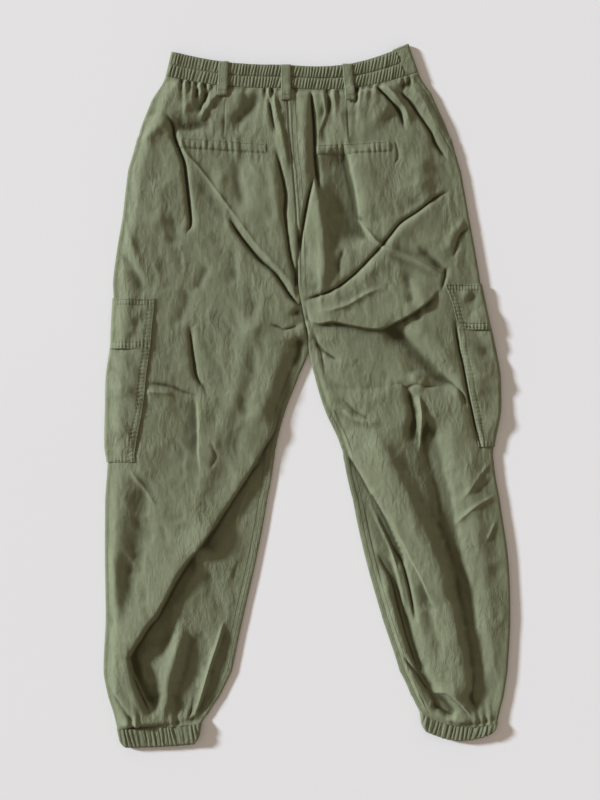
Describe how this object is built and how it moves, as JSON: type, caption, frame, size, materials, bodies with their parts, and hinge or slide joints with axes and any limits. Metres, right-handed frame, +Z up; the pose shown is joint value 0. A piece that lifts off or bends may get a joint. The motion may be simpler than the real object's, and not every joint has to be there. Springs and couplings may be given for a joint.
{
  "type": "cargo trousers laid flat",
  "caption": "Olive cotton cargo trousers laid flat with the back up: elastic back waistband and cuffs, belt loops, welt pockets and cargo pockets at the sides.",
  "frame": {"origin": "centre of the bounding box on the plan, on the surface the garment lies on", "axes": "+Z up from the surface to the garment's back, +Y from the cuffs to the waist, +X towards the wearer's right leg, which is on the right seen from above"},
  "size_m": [0.5712, 0.9856, 0.0182],
  "materials": {
    "back_left": "washed olive green cotton twill, matt",
    "back_right": "washed olive green cotton twill, matt",
    "front_left": "washed olive green cotton twill, matt",
    "front_right": "washed olive green cotton twill, matt",
    "waistband_back": "gathered cotton twill over elastic, matt",
    "waistband_front": "plain cotton twill, matt",
    "belt_loop_left": "cotton twill strip, matt",
    "belt_loop_centre": "cotton twill strip, matt",
    "belt_loop_right": "cotton twill strip, matt",
    "back_welt_left": "cotton twill welt, matt",
    "back_welt_right": "cotton twill welt, matt",
    "cargo_pocket_left": "cotton twill patch pocket, matt",
    "cargo_pocket_right": "cotton twill patch pocket, matt",
    "cargo_flap_left": "double cotton twill flap, matt",
    "cargo_flap_right": "double cotton twill flap, matt",
    "cuff_left": "gathered cotton twill over elastic, matt",
    "cuff_right": "gathered cotton twill over elastic, matt"
  },
  "bodies": {
    "root": {"back_left": "back_left", "back_right": "back_right", "front_left": "front_left", "front_right": "front_right", "waistband_back": "waistband_back", "waistband_front": "waistband_front", "belt_loop_left": "belt_loop_left", "belt_loop_centre": "belt_loop_centre", "belt_loop_right": "belt_loop_right", "back_welt_left": "back_welt_left", "back_welt_right": "back_welt_right", "cargo_pocket_left": "cargo_pocket_left", "cargo_pocket_right": "cargo_pocket_right", "cargo_flap_left": "cargo_flap_left", "cargo_flap_right": "cargo_flap_right", "cuff_left": "cuff_left", "cuff_right": "cuff_right"}
  },
  "joints": []
}
